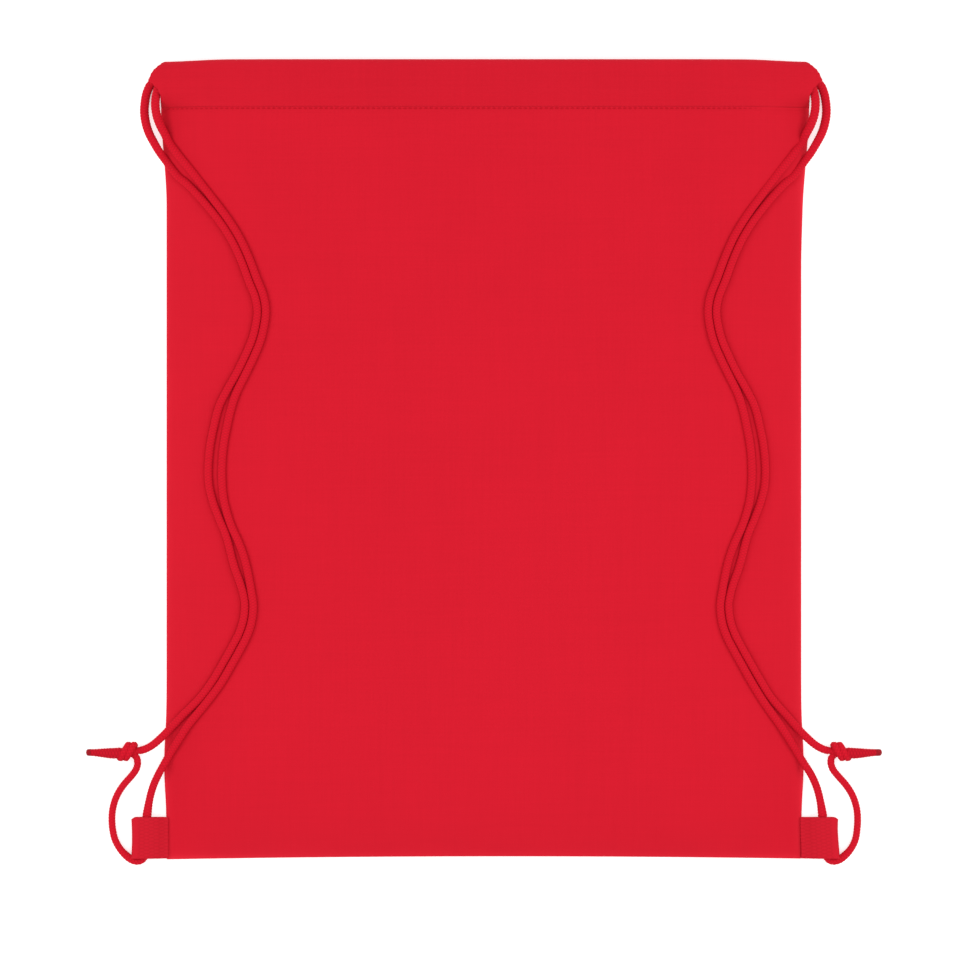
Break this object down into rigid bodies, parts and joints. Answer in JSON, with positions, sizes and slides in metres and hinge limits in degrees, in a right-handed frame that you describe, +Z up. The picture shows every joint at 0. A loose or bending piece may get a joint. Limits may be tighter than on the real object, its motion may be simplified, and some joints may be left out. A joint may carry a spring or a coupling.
{
  "type": "drawstring backpack",
  "caption": "Empty flat drawstring backpack of plain woven fabric, with a stitched hem channel, braided cord straps, webbing corner tabs and tied cord ends.",
  "frame": {"origin": "on the surface that the bag lies on, under the middle of the sewn bag with its tabs, without the free cords", "axes": "+X to the bag's right as seen from the strap side, +Y towards the mouth, +Z up, out of the front where the straps lie"},
  "size_m": [0.4262, 0.4321, 0.0196],
  "materials": {
    "panel_fabric": "matte plain-woven polyester",
    "hem_fabric": "matte plain-woven polyester, folded and stitched",
    "tab_webbing": "ribbed grosgrain webbing",
    "cord": "braided polyester cord",
    "thread": "spun polyester sewing thread",
    "sealed_tip": "cord end melted hard"
  },
  "bodies": {
    "root": {"front_panel": "panel_fabric", "back_panel": "panel_fabric", "back_hem_casing": "hem_fabric", "left_seam_allowance": "panel_fabric", "right_seam_allowance": "panel_fabric", "bottom_seam_allowance": "panel_fabric", "front_hem_stitching": "thread", "back_hem_stitching": "thread", "bottom_stitching": "thread", "left_side_stitching": "thread", "right_side_stitching": "thread", "left_outer_strand_top": "cord", "left_outer_strand_low": "cord", "left_inner_strand_exit": "cord", "left_inner_strand_top": "cord", "left_inner_strand_low": "cord", "left_cord_back_run": "cord", "left_cord_turn": "cord", "right_outer_strand_top": "cord", "right_outer_strand_low": "cord", "right_inner_strand_exit": "cord", "right_inner_strand_top": "cord", "right_inner_strand_low": "cord", "right_cord_back_run": "cord", "right_cord_turn": "cord"},
    "front_hem": {"front_hem_casing": "hem_fabric", "left_cord_front_run": "cord", "right_cord_front_run": "cord"},
    "left_strap": {"left_outer_strand": "cord", "left_inner_strand": "cord"},
    "right_strap": {"right_outer_strand": "cord", "right_inner_strand": "cord"},
    "left_corner": {"left_webbing_tab": "tab_webbing", "left_outer_strand_end": "cord", "left_inner_strand_end": "cord", "left_lower_loop": "cord", "left_knot": "cord", "left_lower_tail": "cord", "left_lower_sealed_tip": "sealed_tip", "left_upper_tail": "cord", "left_upper_sealed_tip": "sealed_tip"},
    "right_corner": {"right_webbing_tab": "tab_webbing", "right_outer_strand_end": "cord", "right_inner_strand_end": "cord", "right_lower_loop": "cord", "right_knot": "cord", "right_lower_tail": "cord", "right_lower_sealed_tip": "sealed_tip", "right_upper_tail": "cord", "right_upper_sealed_tip": "sealed_tip"}
  },
  "joints": [
    {"name": "mouth_opening", "type": "hinge", "parent": "root", "child": "front_hem", "pos_m": [0, 0.1884, 0.0134], "axis": [1, 0, 0], "range_deg": [0, 35], "deforming": ["left_cord_turn", "right_cord_turn", "left_inner_strand_exit", "right_inner_strand_exit"]},
    {"name": "left_strap_swing", "type": "hinge", "parent": "root", "child": "left_strap", "pos_m": [-0.172, 0, 0.008], "axis": [0, -1, 0], "range_deg": [0, 175], "deforming": ["left_outer_strand_top", "left_inner_strand_top", "left_outer_strand_low", "left_inner_strand_low"]},
    {"name": "left_corner_fold", "type": "hinge", "parent": "root", "child": "left_corner", "pos_m": [-0.1701, -0.2032, 0.003], "axis": [0, 1, 0], "range_deg": [0, 80], "deforming": ["left_outer_strand_end", "left_inner_strand_end"]},
    {"name": "right_strap_swing", "type": "hinge", "parent": "root", "child": "right_strap", "pos_m": [0.172, 0, 0.008], "axis": [0, 1, 0], "range_deg": [0, 175], "deforming": ["right_outer_strand_top", "right_inner_strand_top", "right_outer_strand_low", "right_inner_strand_low"]},
    {"name": "right_corner_fold", "type": "hinge", "parent": "root", "child": "right_corner", "pos_m": [0.1701, -0.2032, 0.003], "axis": [0, -1, 0], "range_deg": [0, 80], "deforming": ["right_outer_strand_end", "right_inner_strand_end"]}
  ]
}
